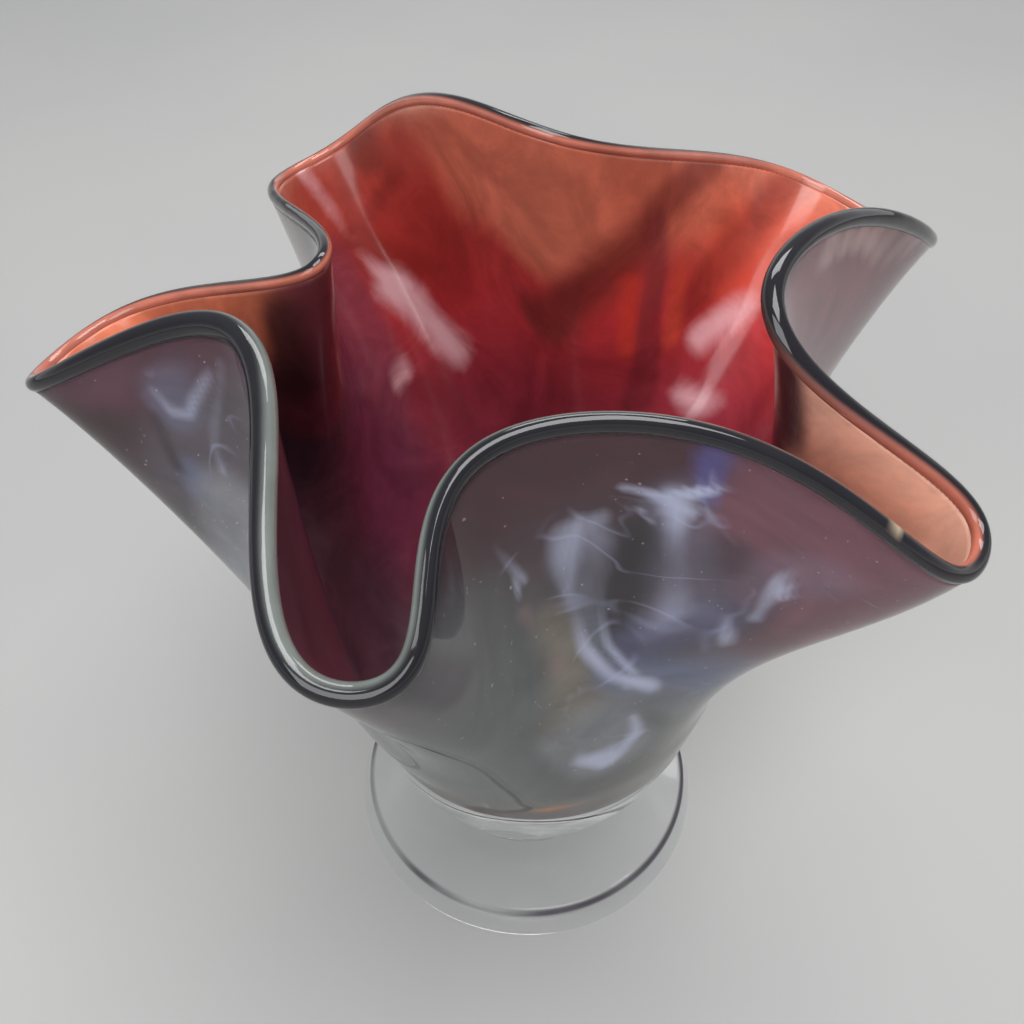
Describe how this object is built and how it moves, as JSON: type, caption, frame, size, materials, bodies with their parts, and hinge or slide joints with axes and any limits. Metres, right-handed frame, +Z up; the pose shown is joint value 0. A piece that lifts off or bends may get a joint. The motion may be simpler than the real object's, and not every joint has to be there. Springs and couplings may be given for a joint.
{
  "type": "fluted glass vase",
  "caption": "Hand blown cased glass vase: a round bowl drawn up into irregular open flutes, with a rolled lip, on a thick clear round foot.",
  "frame": {"origin": "centre of the foot's underside, on the surface that the vase stands on", "axes": "+Z up, out of the mouth; -Y towards the front, where one flute leans to the left of the viewer; +X to the viewer's right"},
  "size_m": [0.1959, 0.178, 0.197],
  "materials": {
    "ruby_lining": "fire-polished orange and ruby glass",
    "smoky_overlay": "smoky amethyst glass with pale blue-white wisps",
    "clear_glass": "fire-polished clear glass",
    "lip_glass": "fire-polished dark smoke glass"
  },
  "bodies": {
    "root": {"inner_lining": "ruby_lining", "colour_overlay": "smoky_overlay", "clear_casing": "clear_glass", "lip_wrap": "lip_glass", "foot_neck": "clear_glass", "foot_disc": "clear_glass"}
  },
  "joints": []
}
